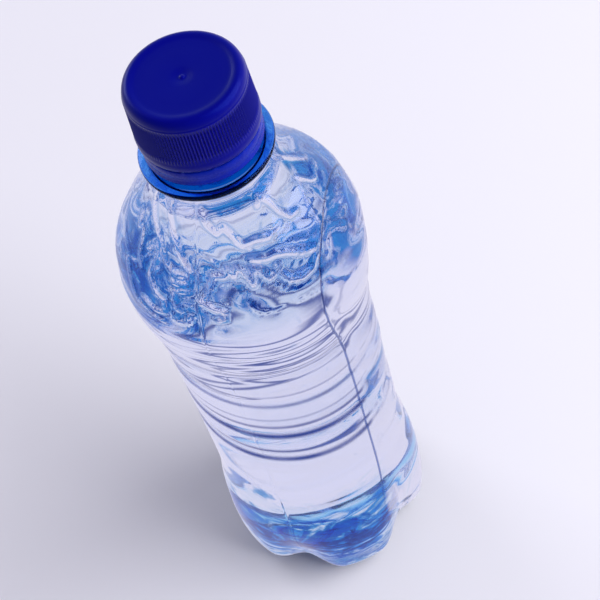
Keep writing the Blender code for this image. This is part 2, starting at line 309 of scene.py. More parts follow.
def thread(angle, z):
    """Height of the screw thread's ridge on the neck: under two turns, right-handed."""
    share = (angle % math.tau) / math.tau
    turns = (RIM_Z - THREAD_START - z) / THREAD_PITCH + share
    nearest = np.round(turns)
    along = nearest - share
    ends = ease((along + 0.1) / 0.12) * ease((THREAD_TURNS - along) / 0.12)
    return THREAD_HEIGHT * ends * ease(1.9 - 5.2 * np.abs(turns - nearest))


# ---- outlines: arrays of (radius, height) --------------------------------------------------

def curve(points, steps):
    """Smooth curve through the points, with a number of steps between each two."""
    points = np.array(points, float)
    padded = np.concatenate([points[:1], points, points[-1:]])
    made = []
    for a, b, c, d in zip(padded, padded[1:], padded[2:], padded[3:]):
        for t in np.arange(steps) / steps:
            made.append(0.5 * (2 * b + (c - a) * t + (2 * a - 5 * b + 4 * c - d) * t ** 2
                               + (3 * b - a - 3 * c + d) * t ** 3))
    return np.array(made + [points[-1]])


def steps_from(radius, z, steps):
    """Points of an outline by their steps from one place: outwards and up."""
    return [(radius + out, z + up) for out, up in steps]


def side_heights():
    """Heights of the rows of points, from the root of the neck to the heel: closer at the top."""
    dome = np.arange(HIGHEST_SIDE_Z, 154.0, -0.5)
    belt = np.arange(154.0, 72.0, -1.0)
    heel = np.arange(72.0, LOWEST_SIDE_Z - 0.1, -2.0)
    return np.concatenate([dome, belt, heel])


def body_outline():
    """Outside of the blown body, from the root of the neck down to the axis."""
    z = side_heights()
    side = np.stack([side_radius(z), z], axis=1)
    foot = curve([side[-1], *FOOT], 5)[1:]
    foot[:, 1] = np.maximum(foot[:, 1], 0.0)
    return np.concatenate([side, foot])


def inset(outline, depth):
    """The same outline, moved inwards square to itself."""
    along = np.gradient(outline, axis=0)
    along /= np.hypot(along[:, 0], along[:, 1])[:, None]
    moved = outline + depth * np.stack([along[:, 1], -along[:, 0]], axis=1)
    moved[-1] = (0.0, outline[-1][1] + depth)
    return moved


def inner_outline(body, depth):
    """Every second row of the outside, and the same rows moved inwards."""
    rows = body[::2] if len(body) % 2 else np.concatenate([body[:-1:2], body[-1:]])
    return rows, inset(rows, depth)


def neck_outline():
    """From the bore over the mouth, down the thread, the bead and the support ring."""
    return np.array([
        (BORE_RADIUS, RING_Z - 1.0), (BORE_RADIUS, RING_Z + 6.0),
        *steps_from(BORE_RADIUS, RIM_Z, ((0.0, -0.5), (0.15, -0.15), (0.5, 0.0))),
        *steps_from(NECK_RADIUS, RIM_Z, ((-0.6, 0.0), (-0.15, -0.15))),
        *((NECK_RADIUS, z) for z in np.arange(RIM_Z - 0.5, BEAD_Z + 3.2, -0.3)),
        (NECK_RADIUS, BEAD_Z + 2.9),
        *steps_from(BEAD_RADIUS, BEAD_Z, (
            (-0.5, 2.2), (-0.1, 1.6), (0.0, 1.3), (0.0, 0.5), (-0.15, 0.15), (-0.4, 0.0))),
        (NECK_RADIUS, BEAD_Z - 0.2),
        *steps_from(NECK_RADIUS, RING_Z, ((0.0, 3.0), (0.15, 2.3), (0.7, 1.8))),
        *steps_from(RING_RADIUS, RING_Z, (
            (-2.3, 1.6), (-0.6, 1.4), (-0.2, 1.25), (0.0, 0.95), (0.0, 0.4), (-0.14, 0.12),
            (-0.5, 0.0), (-2.1, 0.0), (-2.9, -0.25), (-3.15, -0.9), (-3.05, -2.2))),
    ])


# ---- meshes ------------------------------------------------------------------------------

def columns(z):
    """Angles of the columns of points on each row, packed close along the crease and seams."""
    half = np.maximum(crease_half_angle(z), math.radians(8.0))[:, None]
    seam_low, seam_high = (
        seam + 0 * half for seam in sorted(azimuth % math.tau for azimuth in SEAM_AZIMUTHS))
    lines = [
        (CREASE_FACING - half, CREASE_FACING + half, 36), (CREASE_FACING + half, seam_low, 32),
        (seam_low, seam_high, 96), (seam_high, CREASE_FACING + math.tau - half, 56),
    ]
    close = np.array([[0.0, 0.007, 0.014, 0.026]])
    parts = []
    for start, end, count in lines:
        even = np.linspace(0.0, 1.0, count)[None, 1:-1]
        low, high = start + close[:, -1:], end - close[:, -1:]
        parts += [start + close, low + (high - low) * even, end - close[:, :0:-1]]
    return np.concatenate(parts, axis=1)


def grid_mesh(name, points):
    """Mesh of rows of points, in millimetres, each row a ring round the axis.

    The rows run down the outer side.  A first or last row on the axis becomes one point.
    """
    rows, cols, _ = points.shape
    index = np.arange(rows * cols).reshape(rows, cols)
    index[0] = index[0, 0] if np.ptp(points[0, :, :2]) < 1e-6 else index[0]
    index[-1] = index[-1, 0] if np.ptp(points[-1, :, :2]) < 1e-6 else index[-1]
    around = np.roll(index, -1, axis=1)
    quads = np.stack([index[:-1], index[1:], around[1:], around[:-1]], axis=-1).reshape(-1, 4)
    used, compact = np.unique(quads, return_inverse=True)
    faces = [list(dict.fromkeys(quad)) for quad in compact.reshape(-1, 4).tolist()]
    mesh = bpy.data.meshes.new(name)
    mesh.from_pydata((points.reshape(-1, 3)[used] * MM).tolist(), [], faces)
    mesh.shade_smooth()
    mesh.set_sharp_from_angle(angle=math.radians(55.0))
    return mesh, used


def place(name, mesh, material, body, node):
    """Put a piece in the scene: it rides on its body and stands for its CAD node."""
    piece = bpy.data.objects.new(name, mesh)
    bpy.context.scene.collection.objects.link(piece)
    mesh.materials.append(material)
    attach(piece, body)
    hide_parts(node)
    return piece


def round_points(angle, radius, z):
    """Points in millimetres from angles, radii and heights."""
    flat = np.broadcast_arrays(radius * np.cos(angle), radius * np.sin(angle), z)
    return np.stack(flat, axis=-1)


def blown_points(outline, backing, sizes, outside):
    """Points of a blown skin: each row moves as the row of the outside that it backs."""
    angle = columns(backing[:, 1])
    radius, z = outline[:, :1], outline[:, 1:]
    out, up = press(angle, backing[:, :1], backing[:, 1:], sizes, outside)
    return round_points(angle, np.where(radius > 0.0, np.maximum(radius + out, 0.0), 0.0), z + up)


def turned_points(outline, count):
    """Angles, radii and heights of a plain turned form, with columns at even angles."""
    outline = np.array(outline, float)
    angle = np.arange(count)[None, :] * math.tau / count
    return angle, outline[:, :1] + 0 * angle, outline[:, 1:] + 0 * angle


# ---- materials -----------------------------------------------------------------------------

def linear(hex_colour):
    """Linear red, green and blue of an sRGB hex colour."""
    values = [int(hex_colour[k:k + 2], 16) / 255.0 for k in (1, 3, 5)]
    return tuple(v / 12.92 if v <= 0.04045 else ((v + 0.055) / 1.055) ** 2.4 for v in values)


def add(tree, kind, inputs=None, stops=(), **settings):
    """Add a node: its settings, the stops of its ramp, then its inputs by name or by number.

    An input is a value, a colour of three parts, a socket, or a node, which gives its first output.
    """
    node = tree.nodes.new("ShaderNode" + kind)
    for name, value in settings.items():
        setattr(node, name, value)
    if stops:
        ramp = node.color_ramp.elements
        for element, (position, tint) in zip(ramp, (stops[0], stops[-1])):
            element.position = position
            element.color = (*tint, 1.0)
        for position, tint in stops[1:-1]:
            ramp.new(position).color = (*tint, 1.0)
    in_use = [socket for socket in node.inputs if socket.enabled]
    for key, value in (inputs or {}).items():
        socket = in_use[key] if isinstance(key, int) else next(s for s in in_use if s.name == key)
        if isinstance(value, bpy.types.Node):
            value = next(given for given in value.outputs if given.enabled)
        if isinstance(value, bpy.types.NodeSocket):
            tree.links.new(value, socket)
        else:
            socket.default_value = (*value, 1.0) if socket.type == "RGBA" else value
    return node


def new_material(name):
    """An empty node material and its tree."""
    material = bpy.data.materials.new(name)
    material.use_nodes = True
    material.node_tree.nodes.clear()
    return material, material.node_tree


def base_tint(tree, look, where, across, z):
    """The base is thick round a spot off its middle, and the blue clouds there: partly its own tint
    and partly painted refraction of blue.
    """
    from_spot = add(tree, "VectorMath", {0: across, 1: (-5.5 * MM, 4.0 * MM, 0.0)})
    distance = add(tree, "VectorMath", {0: from_spot}, operation="LENGTH")
    cloud = add(tree, "TexNoise", {
        "Vector": where, "Scale": 1.0 / (7.0 * MM), "Detail": 4.0, "Distortion": 2.0})
    clouded = add(tree, "Math", {0: cloud, 1: 50.0 * MM, 2: distance}, operation="MULTIPLY_ADD")
    thick = add(tree, "MapRange", {"Value": clouded, "From Min": 45.0 * MM, "From Max": 30.0 * MM})
    under = add(tree, "MapRange", {"Value": z, "From Min": 13.0 * MM, "From Max": 8.0 * MM})
    share = add(tree, "Math", {0: thick, 1: under}, operation="MULTIPLY")
    return add(tree, "ValToRGB", {"Fac": share}, stops=(
        (0.0, look.clear_colour), (0.8, look.wash_colour), (1.0, look.refracted_blue_colour)))


def heel_refraction_tints(tree, look, where, z):
    """Painted refraction of the base's blue: a ragged belt across the heel on the front side."""
    level = add(tree, "VectorMath", {0: where, 1: (0.5, 0.5, 1.6)}, operation="MULTIPLY")
    drift = add(tree, "TexNoise", {
        "Vector": level, "Scale": 1.0 / (6.0 * MM), "Detail": 3.0, "Distortion": 1.6})
    height = add(tree, "Math", {0: drift, 1: 40.0 * MM, 2: z}, operation="MULTIPLY_ADD")
    share = add(tree, "MapRange", {"Value": height, "From Min": 28.0 * MM, "From Max": 74.0 * MM})
    belt = add(tree, "ValToRGB", {"Fac": share}, stops=(
        (0.0, look.refracted_blue_colour), (0.12, look.wash_colour), (0.24, look.refracted_mid_blue_colour),
        (0.34, look.refracted_deep_blue_colour), (0.42, look.refracted_deep_blue_colour), (0.50, look.refracted_mid_blue_colour),
        (0.60, look.refracted_blue_colour), (0.76, look.wash_colour), (1.0, look.clear_colour)))
    # Only the outer face takes this tint, so it is laid on twice.
    twice = add(tree, "Mix", {
        "Factor": 1.0, "A": belt, "B": belt}, data_type="RGBA", blend_type="MULTIPLY")
    # The painted belt lies on the front side only, and on the outer face.
    forward = add(tree, "VectorMath", {0: where, 1: (0.91, -0.42, 0.0)}, operation="DOT_PRODUCT")
    in_front = add(tree, "MapRange", {
        "Value": forward, "From Min": 9.0 * MM, "From Max": 17.0 * MM}, **SMOOTH)
    outside = add(tree, "Attribute", attribute_name="outside")
    thick = add(tree, "Math", {0: in_front, 1: outside.outputs["Fac"]}, operation="MULTIPLY")
    return [(thick, twice)]


def shoulder_tints(tree, look, where, z):
    """A wash of blue with streaks of painted refraction of blue; the wrinkles' clear crests and
    blue flanks are painted refraction too.
    """
    dome = add(tree, "MapRange", {
        "Value": z, "From Min": 150.0 * MM, "From Max": 162.0 * MM}, **SMOOTH)
    under_neck = add(tree, "MapRange", {
        "Value": z, "From Min": 184.0 * MM, "From Max": 178.0 * MM}, **SMOOTH)
    wash = add(tree, "Math", {0: dome, 1: under_neck}, operation="MULTIPLY")
    along = add(tree, "VectorMath", {0: where, 1: STREAK_RUN}, operation="DOT_PRODUCT")
    reach = add(tree, "VectorMath", {0: STREAK_RUN, "Scale": along}, operation="SCALE")
    squashed = add(tree, "VectorMath", {
        0: reach, 1: (-0.7, -0.7, -0.7), 2: where}, operation="MULTIPLY_ADD")
    streak = add(tree, "TexNoise", {
        "Vector": squashed, "Scale": 1.0 / (2.6 * MM), "Detail": 3.0, "Distortion": 1.2})
    blue_refraction = add(tree, "Attribute", attribute_name="blue_refraction")
    depth = add(tree, "Math", {
        0: blue_refraction.outputs["Fac"], 1: 0.45, 2: streak}, operation="MULTIPLY_ADD")
    refracted_streaks = add(tree, "MapRange", {"Value": depth, "From Min": 0.66, "From Max": 0.98}, **SMOOTH)
    # Painted refraction along the wrinkles: blue flanks and clear crests.
    off_ridge = add(tree, "Attribute", attribute_name="off_ridge")
    ragged = add(tree, "Math", {
        0: streak, 1: 0.8, 2: off_ridge.outputs["Fac"]}, operation="MULTIPLY_ADD")
    blue_flank_refraction = add(tree, "MapRange", {
        "Value": ragged, "From Min": 2.3, "From Max": 1.7, "To Max": 0.38})
    clear_crest_refraction = add(tree, "MapRange", {"Value": ragged, "From Min": 1.6, "From Max": 1.15})
    return [(wash, look.wash_colour), (refracted_streaks, look.refracted_blue_colour), (blue_flank_refraction, look.refracted_blue_colour),
            (clear_crest_refraction, look.clear_colour)]


def neck_tints(tree, look, across, z):
    """The neck keeps the thickness it had before blowing; its blue is partly its own tint and
    partly painted refraction of the blue cap, with painted shade at the ring's root under the band.
    """
    radius = add(tree, "VectorMath", {0: across}, operation="LENGTH")
    outer = add(tree, "MapRange", {
        "Value": z, "From Min": (RING_Z - 3.0) * MM, "From Max": (RING_Z - 0.5) * MM}, **SMOOTH)
    narrow = add(tree, "MapRange", {"Value": radius, "From Min": 13.2 * MM, "From Max": 12.6 * MM})
    high = add(tree, "Math", {0: z, 1: 180.0 * MM}, operation="GREATER_THAN")
    bore = add(tree, "Math", {0: narrow, 1: high}, operation="MULTIPLY")
    neck = add(tree, "Math", {0: outer, 1: bore}, operation="MAXIMUM")
    inner = add(tree, "MapRange", {"Value": radius, "From Min": 15.0 * MM, "From Max": 14.3 * MM})
    # Painted shade: the ring's top next to the neck, under the tamper band, turns dark blue.
    on_top = add(tree, "Math", {0: z, 1: (RING_Z + 0.8) * MM}, operation="GREATER_THAN")
    root = add(tree, "Math", {0: inner, 1: on_top}, operation="MULTIPLY")
    blue = add(tree, "Mix", {
        "Factor": root, "A": look.neck_tint_and_refraction_colour, "B": look.under_band_shade_colour}, data_type="RGBA")
    return [(neck, blue)]


def grip_tints(tree, look, where, x, y):
    """Painted shade along the edges of the grooves, and painted refraction of blue as a crescent in
    the lowest, widening towards the fold.
    """
    tilted = add(tree, "VectorMath", {
        0: where, 1: (0.0, GROOVE_TILT, 1.0)}, operation="DOT_PRODUCT")
    low, high = 70.0, 140.0
    grip = add(tree, "MapRange", {"Value": tilted, "From Min": low * MM, "From Max": high * MM})
    # Painted shade: dark blue lines along the edges of the grooves.
    stops = [(0.0, (0.0,) * 3)]
    for height, half, strength in GROOVE_SHADE_LINES:
        for off, value in ((-half, 0.0), (0.0, strength), (half, 0.0)):
            stops.append(((height + off - low) / (high - low), (value,) * 3))
    stops.append((1.0, (0.0,) * 3))
    edges = add(tree, "ValToRGB", {"Fac": grip}, stops)
    edges.color_ramp.interpolation = "EASE"
    waver = add(tree, "TexNoise", {"Vector": where, "Scale": 1.0 / (14.0 * MM), "Detail": 1.0})
    patchy = add(tree, "MapRange", {
        "Value": waver, "From Min": 0.35, "From Max": 0.55, "To Min": 0.8})
    edge = add(tree, "Math", {0: edges, 1: patchy}, operation="MULTIPLY")
    # Painted refraction: the base's blue seen as a crescent in the lowest groove, on the front side
    # only, widening towards the fold.
    half_height = add(tree, "MapRange", {
        "Value": y, "From Min": -9.0 * MM, "From Max": 13.0 * MM, "To Max": 3.3 * MM})
    off_groove = add(tree, "Math", {0: tilted, 1: 86.3 * MM}, operation="SUBTRACT")
    distance = add(tree, "Math", {0: off_groove}, operation="ABSOLUTE")
    inside = add(tree, "Math", {0: half_height, 1: distance}, operation="SUBTRACT")
    filled = add(tree, "MapRange", {"Value": inside, "From Max": 1.6 * MM}, **SMOOTH)
    in_front = add(tree, "MapRange", {"Value": x, "From Min": 24.2 * MM, "From Max": 26.2 * MM})
    crescent = add(tree, "Math", {0: filled, 1: in_front}, operation="MULTIPLY")
    return [(edge, look.groove_shade_colour), (crescent, look.refracted_deep_blue_colour)]


def fold_tints(tree, look, where, z):
    """The fold's line of painted shade, dulled over the shoulder, and the whitened streaks beyond
    it.
    """
    facing = (math.cos(CREASE_FACING), math.sin(CREASE_FACING), 0.0)
    outwards = add(tree, "VectorMath", {0: where, 1: facing}, operation="DOT_PRODUCT")
    past = add(tree, "Math", {0: outwards, 1: CREASE_DISTANCE * MM}, operation="SUBTRACT")
    pressed = add(tree, "MapRange", {"Value": past, "From Max": 1.5 * MM}, **SMOOTH)
    slant = add(tree, "VectorMath", {0: where, 1: (1.0, 1.0, 0.22)}, operation="MULTIPLY")
    stress = add(tree, "TexNoise", {"Vector": slant, "Scale": 1.0 / (3.0 * MM), "Detail": 2.0})
    streaked = add(tree, "MapRange", {
        "Value": stress, "From Min": 0.42, "From Max": 0.60, "To Min": 0.5})
    stressed = add(tree, "Math", {0: pressed, 1: streaked}, operation="MULTIPLY")
    # Painted shade: a thin dark line along the crease of the fold.
    off_fold = add(tree, "Attribute", attribute_name="off_fold")
    line = add(tree, "MapRange", {
        "Value": off_fold.outputs["Fac"], "From Min": 0.30, "From Max": 0.12}, **SMOOTH)
    clear_of_heel = add(tree, "MapRange", {
        "Value": z, "From Min": 30.0 * MM, "From Max": 44.0 * MM, "To Max": 0.95})
    fold = add(tree, "Math", {0: line, 1: clear_of_heel}, operation="MULTIPLY")
    over_shoulder = add(tree, "MapRange", {"Value": z, "From Min": 157.0 * MM, "From Max": 163.0 * MM})
    dark = add(tree, "Mix", {
        "Factor": over_shoulder, "A": look.fold_shade_colour, "B": look.fold_shade_shoulder_colour}, data_type="RGBA")
    return [(stressed, look.pressed_colour), (fold, dark)]


def blown_pet(look):
    """Clear PET, stretched and blown in a mould.

    A hard gloss without grain, which scuffs dull a little; the blue deepens where the plastic is
    thick, in the neck and the base.  Over it lies painted refraction of blue in the neck, the heel,
    the base and the shoulder, and painted shade along the grooves' edges, the fold and under the
    tamper band.
    """
    material, tree = new_material("blown_pet")
    where = add(tree, "TexCoord").outputs["Object"]
    x, y, z = add(tree, "SeparateXYZ", {"Vector": where}).outputs
    across = add(tree, "VectorMath", {0: where, 1: (1.0, 1.0, 0.0)}, operation="MULTIPLY")
    # Each part's tints are laid over the last, in the share that goes with them.
    laid = [
        *heel_refraction_tints(tree, look, where, z), *shoulder_tints(tree, look, where, z),
        *neck_tints(tree, look, across, z), *grip_tints(tree, look, where, x, y),
        *fold_tints(tree, look, where, z),
    ]
    tint = base_tint(tree, look, where, across, z)
    for share, blue in laid:
        tint = add(tree, "Mix", {"Factor": share, "A": tint, "B": blue}, data_type="RGBA")
    # Fine scuffs, drawn 1.5 mm wide so that they show.
    scuff = add(tree, "TexNoise", {
        "Vector": where, "Scale": 1.0 / (1.5 * MM), "Detail": 6.0, "Roughness": 0.7})
    rough = add(tree, "MapRange", {
        "Value": scuff, "From Min": 0.60, "From Max": 0.80, "To Max": 0.10})
    # The gloss is held back by its tint: where water wets the wall, light here meets three faces,
    # and in a real bottle only two.
    shader = add(tree, "BsdfPrincipled", {
        "Base Color": tint, "Roughness": rough, "IOR": 1.575, "Transmission Weight": 1.0,
        "Specular Tint": look.gloss_colour})
    add(tree, "OutputMaterial", {"Surface": shader})
    return material


def still_water(look):
    """Drinking water at rest: colourless and mirror-smooth, with a trace of blue in its depth.

    The wall round it gives the gloss, so its own is left out.
    """
    material, tree = new_material("still_water")
    shader = add(tree, "BsdfPrincipled", {
        "Base Color": (1.0, 1.0, 1.0), "Roughness": 0.0, "IOR": 1.333, "Transmission Weight": 1.0,
        "Specular Tint": (0.0, 0.0, 0.0)})
    depth = add(tree, "VolumeAbsorption", {"Color": look.colour, "Density": look.density})
    add(tree, "OutputMaterial", {"Surface": shader, "Volume": depth})
    return material


def moulded_plastic(name, colour, deep_colour, gloss, roughness, cloud_size):
    """Injection-moulded polyolefin: satin gloss, faint clouding of the dye, a trace of grain."""
    material, tree = new_material(name)
    where = add(tree, "TexCoord").outputs["Object"]
    cloud = add(tree, "TexNoise", {
        "Vector": where, "Scale": 1.0 / (cloud_size * MM), "Detail": 3.0})
    dye = add(tree, "Mix", {"Factor": cloud, "A": deep_colour, "B": colour}, data_type="RGBA")
    # Grain of the mould's surface, drawn 0.5 mm across so that it shows.
    grain = add(tree, "TexNoise", {"Vector": where, "Scale": 1.0 / (0.5 * MM), "Detail": 2.0})
    rough = add(tree, "MapRange", {
        "Value": grain, "To Min": roughness - 0.05, "To Max": roughness + 0.05})
    skin = add(tree, "Bump", {"Height": grain, "Strength": 0.15, "Distance": 0.03 * MM})
    shader = add(tree, "BsdfPrincipled", {
        "Base Color": dye, "Roughness": rough, "Normal": skin, "IOR": 1.49,
        "Specular IOR Level": 0.3, "Specular Tint": gloss})
    add(tree, "OutputMaterial", {"Surface": shader})
    return material


# ---- pieces --------------------------------------------------------------------------------

def build_wall(settings):
    """The blown bottle: inside, neck finish and outside in one skin."""
    body = body_outline()
    body_in, inner = inner_outline(body, settings.wall / MM)
    kept = inner[:, 1] < RING_Z - 6.0
    inside = blown_points(inner[kept], body_in[kept], settings, outside=False)
    outside = blown_points(body, body, settings, outside=True)
    neck = neck_outline()
    angle = columns(neck[:, 1])
    radius, z = neck[:, :1] + 0 * angle, neck[:, 1:]
    threaded = (np.abs(radius - NECK_RADIUS) < 1e-6) & (z > BEAD_Z + 3.2) & (z < RIM_Z - 0.4)
    radius += np.where(threaded, thread(angle, z), 0.0)
    points = np.concatenate([inside[::-1], round_points(angle, radius, z), outside])
    mesh, used = grid_mesh("bottle_wall", points)

    backing = np.concatenate([body_in[kept][::-1], neck, body])
    angle, z = columns(backing[:, 1]), backing[:, 1:]
    ridge = np.minimum(off_vein(angle, z) + 0.3, off_wrinkle(angle, z, backing[:, :1]))
    fold = np.abs(backing[:, :1] * np.cos(away(angle, CREASE_FACING)) - CREASE_DISTANCE)
    outer = np.arange(len(backing))[:, None] >= len(backing) - len(body)
    fields = {
        "off_ridge": np.minimum(ridge, 4.0),
        "off_fold": np.where(outer, fold, 3.0),
        # Share of painted refraction of blue in the shoulder.
        "blue_refraction": pools(angle, z),
        "outside": np.broadcast_to(outer, fold.shape),
    }
    for name, values in fields.items():
        held = mesh.attributes.new(name, "FLOAT", "POINT")
        held.data.foreach_set("value", values.reshape(-1)[used].astype(np.float32))
    return place("bottle_wall", mesh, blown_pet(settings), "bottle_body", "bottle")


def build_water(settings, wall_settings):
    """The water, from its level down: it fills the wall and creeps up it a little at the rim."""
    body_in, edge = inner_outline(body_outline(), wall_settings.wall / MM - OVERLAP)
    wet = edge[:, 1] < WATER_Z + MENISCUS
    skin = blown_points(edge[wet], body_in[wet], wall_settings, outside=False)
    top = skin[0]
    rings = [skin]
    reach = np.hypot(top[:, 0], top[:, 1])
    for inwards, drop in ((0.5, 0.45), (1.2, 0.70), (2.4, MENISCUS), (6.0, MENISCUS)):
        ring = top.copy()
        ring[:, :2] *= ((reach - inwards) / reach)[:, None]
        ring[:, 2] = top[:, 2] - drop
        rings.insert(0, ring[None])
    centre = np.zeros_like(top)
    centre[:, 2] = top[:, 2].mean() - MENISCUS
    rings.insert(0, centre[None])
    mesh, _ = grid_mesh("bottle_water", np.concatenate(rings))
    return place("bottle_water", mesh, still_water(settings), "bottle_body", "water")


def build_cap(settings):
    """The screw cap: dished top with its gate mark, rounded shoulder, knurled grip, plain skirt."""
    plate_z = LINER_HIGH_Z + 0.32
    top = steps_from(0.0, CAP_TOP_Z, (
        (0.0, -0.30), (0.25, -0.31), (0.45, -0.38), (0.6, -0.55), (0.8, -0.60), (1.3, -0.56),
        (2.2, -0.38), (3.2, -0.32), (8.0, -0.30), (10.4, -0.27)))
    shoulder = curve(steps_from(CAP_TOP_RADIUS, CAP_TOP_Z, (
        (-3.3, -0.22), (-2.5, -0.04), (-1.9, 0.0), (-1.2, -0.22), (-0.55, -0.85), (-0.2, -1.75),
        (-0.12, -2.4))), 4)
    shoulder[:, 1] = np.minimum(shoulder[:, 1], CAP_TOP_Z)
    grip = np.linspace((CAP_TOP_RADIUS, KNURL_HIGH_Z), (CAP_BOTTOM_RADIUS - 0.1, KNURL_LOW_Z), 16)
    outline = np.concatenate([
        top, shoulder,
        [(CAP_TOP_RADIUS, CAP_TOP_Z - 2.55), (CAP_TOP_RADIUS, KNURL_HIGH_Z + 0.1)],
        grip,
        steps_from(CAP_BOTTOM_RADIUS, KNURL_LOW_Z, ((-0.1, -0.3), (0.0, -0.55))),
        steps_from(CAP_BOTTOM_RADIUS, CAP_LOW_Z, ((0.0, 0.5), (-0.12, 0.15), (-0.4, 0.0))),
        steps_from(CAP_BORE, CAP_LOW_Z, ((0.2, 0.0), (0.05, 0.2), (0.0, 0.6))),
        steps_from(CAP_BORE, plate_z, ((0.0, -1.0), (-0.2, -0.4), (-0.7, 0.0))),
        [(0.0, plate_z)],
    ])
    angle, radius, z = turned_points(outline, 4 * settings.knurls)
    in_grip = (z < KNURL_HIGH_Z + 0.01) & (z > KNURL_LOW_Z - 0.01) & (radius > CAP_BORE + 0.2)
    ends = ease((KNURL_HIGH_Z - z) / 0.5) * ease((z - KNURL_LOW_Z) / 1.2)
    groove = 0.5 - 0.5 * np.cos(settings.knurls * angle)
    radius -= np.where(in_grip, settings.knurl_depth / MM * ends * groove, 0.0)
    mesh, _ = grid_mesh("screw_cap", round_points(angle, radius, z))
    material = moulded_plastic(
        "cobalt_polypropylene", settings.colour, settings.deep_colour, settings.gloss_colour,
        0.30, 6.0)
    return place("screw_cap", mesh, material, "cap_body", "cap")


def build_band(settings):
    """The tamper band: it stays under the bead, with the stubs of its broken bridges on top."""
    outline = [
        (BAND_BORE, BAND_HIGH_Z - 0.3),
        *steps_from(BAND_RADIUS, BAND_HIGH_Z, ((-0.4, -0.3), (-0.12, -0.42), (0.0, -0.7))),
        *steps_from(BAND_RADIUS, BAND_LOW_Z, (
            (-0.02, 2.6), (-0.12, 2.2), (-0.16, 1.2), (-0.02, 0.8), (0.0, 0.45), (-0.12, 0.12),
            (-0.4, 0.0))),
        *steps_from(BAND_LIP_RADIUS, BAND_LOW_Z, (
            (0.3, 0.0), (0.08, 0.1), (0.0, 0.3), (0.0, 1.0))),
        (BAND_BORE, BAND_LOW_Z + 1.6), (BAND_BORE, BAND_HIGH_Z - 0.3),
    ]
    angle, radius, z = turned_points(outline, 360)
    bridge = np.abs(away(angle * settings.bridges, 0.0)) < settings.bridges * math.radians(1.6)
    top = z > BAND_HIGH_Z - 0.45
    z = z + np.where(bridge & top, 0.3, 0.0)
    mesh, _ = grid_mesh("cap_band", round_points(angle, radius, z))
    # The band's blue is partly its dye and partly painted sheen, lighter than the cap's.
    material = moulded_plastic(
        "cobalt_polypropylene_band", settings.band_dye_and_sheen_colour, settings.colour, settings.gloss_colour,
        0.28, 6.0)
    return place("cap_band", mesh, material, "bottle_body", "tamper_band")


def build_liner(settings):
    """The sealing disc in the cap, with a raised bead where the mouth presses into it."""
    outline = [
        (0.0, LINER_HIGH_Z),
        *steps_from(LINER_RADIUS, LINER_HIGH_Z, ((-0.3, 0.0), (-0.08, -0.08), (0.0, -0.25))),
        *steps_from(LINER_RADIUS, LINER_LOW_Z, ((0.0, 0.25), (-0.08, 0.08), (-0.3, 0.0))),
        *steps_from(NECK_RADIUS, LINER_LOW_Z, ((-0.4, 0.02), (-0.8, 0.2))),
        *steps_from(BORE_RADIUS, LINER_LOW_Z, (
            (0.3, 0.2), (-0.2, 0.02), (-0.8, 0.0), (-1.6, 0.15))),
        (0.0, LINER_LOW_Z + 0.15),
    ]
    angle, radius, z = turned_points(outline, 180)
    mesh, _ = grid_mesh("seal_disc", round_points(angle, radius, z))
    material = moulded_plastic(
        "soft_polyethylene", settings.liner_colour, settings.liner_colour, (1.0, 1.0, 1.0),
        0.45, 3.0)
    return place("seal_disc", mesh, material, "liner_body", "cap_liner")


# ---- stage ---------------------------------------------------------------------------------

def matte_paper(look):
    """Smooth matte paper for the floor; through the bottle and in its gloss it shows unshaded."""
    material, tree = new_material("matte_paper")
    where = add(tree, "TexCoord").outputs["Object"]
    fibre = add(tree, "TexNoise", {"Vector": where, "Scale": 1.0 / (4.0 * MM), "Detail": 4.0})
    skin = add(tree, "Bump", {"Height": fibre, "Strength": 0.1, "Distance": 0.1 * MM})
    paper = add(tree, "BsdfPrincipled", {
        "Base Color": look.floor_colour, "Roughness": 0.9, "Specular IOR Level": 0.2,
        "Normal": skin})
    bright = add(tree, "Emission", {"Color": look.backdrop_colour})
    ray = add(tree, "LightPath").outputs
    through = add(tree, "Math", {
        0: ray["Is Transmission Ray"], 1: ray["Is Glossy Ray"]}, operation="MAXIMUM")
    mixed = add(tree, "MixShader", {0: through, 1: paper, 2: bright})
    add(tree, "OutputMaterial", {"Surface": mixed})
    return material


def light_world(look):
    """Even studio light: neutral on matt surfaces; gloss and clear plastic see a blue overhead."""
    world = bpy.data.worlds.new("studio_light")
    world.use_nodes = True
    tree = world.node_tree
    tree.nodes.clear()
    direction = add(tree, "TexCoord").outputs["Generated"]
    height = add(tree, "SeparateXYZ", {"Vector": direction}).outputs["Z"]
    sky = add(tree, "ValToRGB", {"Fac": height}, stops=(
        (look.horizon, look.backdrop_colour),
        (0.5 * (look.horizon + look.zenith), look.overhead_colour),
        (look.zenith, look.zenith_colour)))
    ray = add(tree, "LightPath").outputs
    plain = add(tree, "Math", {
        0: ray["Is Camera Ray"], 1: ray["Is Diffuse Ray"]}, operation="MAXIMUM")
    shown = add(tree, "Mix", {
        "Factor": plain, "A": sky, "B": look.backdrop_colour}, data_type="RGBA")
    kept_off = add(tree, "Math", {
        0: ray["Is Diffuse Ray"], 1: look.soft_light}, operation="MULTIPLY")
    strength = add(tree, "Math", {0: 1.0, 1: kept_off}, operation="SUBTRACT")
    background = add(tree, "Background", {"Color": shown, "Strength": strength})
    add(tree, "OutputWorld", {"Surface": background})
    bpy.context.scene.world = world


def area_lamp(name, place_at, aim, size, power):
    """A square soft lamp, aimed at a point.  It isn't seen as a hard spot through clear plastic."""
    lamp = bpy.data.lights.new(name, "AREA")
    lamp.size = size
    lamp.energy = power
    holder = bpy.data.objects.new(name, lamp)
    bpy.context.scene.collection.objects.link(holder)
    holder.visible_transmission = False
    holder.location = place_at
    holder.rotation_euler = (Vector(aim) - Vector(place_at)).to_track_quat("-Z", "Y").to_euler()


CAMERA_PLACE = (0.22464, 0.0, RING_Z * MM + 0.25799)
CAMERA_TURN = (32.778, 9.973, 72.507)    # degrees about X, Y and Z


